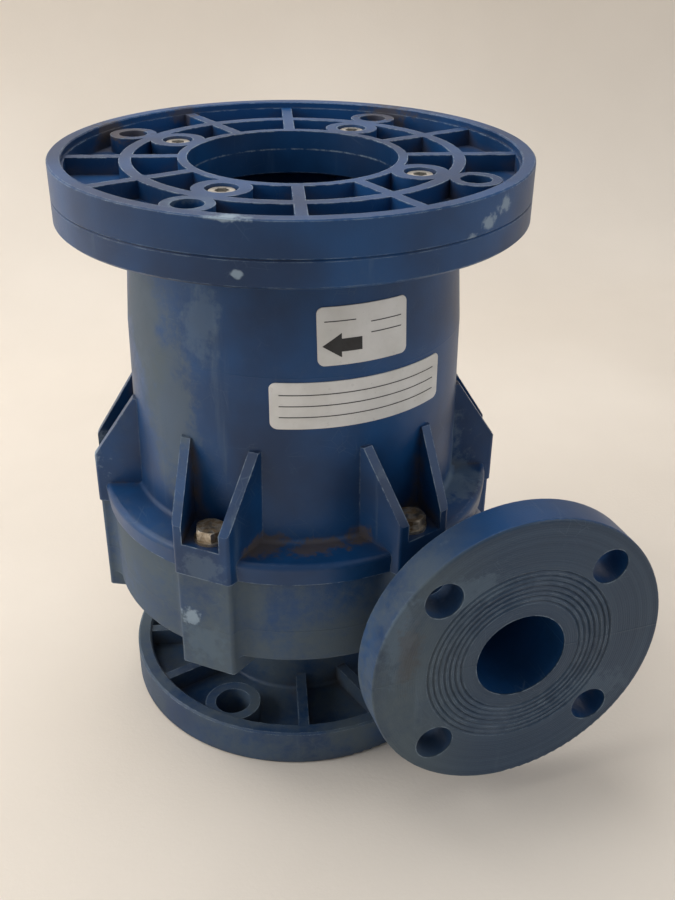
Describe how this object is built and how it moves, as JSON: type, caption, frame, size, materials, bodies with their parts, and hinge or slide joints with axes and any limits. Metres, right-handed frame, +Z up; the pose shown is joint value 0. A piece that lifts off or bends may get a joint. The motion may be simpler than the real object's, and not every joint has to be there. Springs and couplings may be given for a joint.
{
  "type": "magnetic drive pump volute casing",
  "caption": "Plastic volute pump casing with a ribbed motor adapter, a suction flange below, a tangential discharge flange and the rotor inside.",
  "frame": {"origin": "centre of the suction flange's gasket face, on the shaft axis", "axes": "+Z up along the shaft axis towards the motor, discharge flange facing -Y beside the axis on the +X side"},
  "size_m": [0.2575, 0.2603, 0.3042],
  "materials": {
    "plate_plastic": "moulded polypropylene, satin",
    "screw_steel": "bright stainless",
    "insert_brass": "turned",
    "adapter_plastic": "moulded polypropylene, satin, dusty",
    "bolt_steel": "stained stainless",
    "washer_steel": "stained stainless",
    "housing_insert_brass": "turned",
    "casing_plastic": "moulded polypropylene, satin, dusty",
    "barrier_plastic": "fibre filled moulding",
    "seal_rubber": "moulded elastomer",
    "shaft_ceramic": "ground",
    "casing_ring_ceramic": "ground",
    "impeller_ring_ceramic": "ground",
    "rear_ring_ceramic": "ground",
    "impeller_plastic": "moulded polypropylene",
    "shroud_plastic": "moulded polypropylene",
    "drive_plastic": "moulded over the magnets",
    "yoke_steel": "turned carbon steel",
    "magnet_metal": "nickel plated",
    "bushing_carbon": "carbon graphite",
    "arrow_label_film": "printed film",
    "rating_label_film": "printed film"
  },
  "bodies": {
    "casing": {"motor_flange_plate": "plate_plastic", "flange_screws": "screw_steel", "flange_inserts": "insert_brass", "motor_adapter": "adapter_plastic", "housing_bolts": "bolt_steel", "housing_washers": "washer_steel", "housing_inserts": "housing_insert_brass", "volute_casing": "casing_plastic", "barrier": "barrier_plastic", "barrier_oring": "seal_rubber", "pump_shaft": "shaft_ceramic", "casing_thrust_ring": "casing_ring_ceramic", "arrow_label": "arrow_label_film", "rating_label": "rating_label_film"},
    "rotor": {"impeller": "impeller_plastic", "impeller_shroud": "shroud_plastic", "impeller_thrust_ring": "impeller_ring_ceramic", "rear_thrust_ring": "rear_ring_ceramic", "inner_drive": "drive_plastic", "drive_yoke": "yoke_steel", "drive_magnets": "magnet_metal", "shaft_bushing": "bushing_carbon"}
  },
  "joints": [
    {"name": "rotor_spin", "type": "hinge", "parent": "casing", "child": "rotor", "pos_m": [0, 0, 0.12], "axis": [0, 0, -1], "continuous": true}
  ]
}
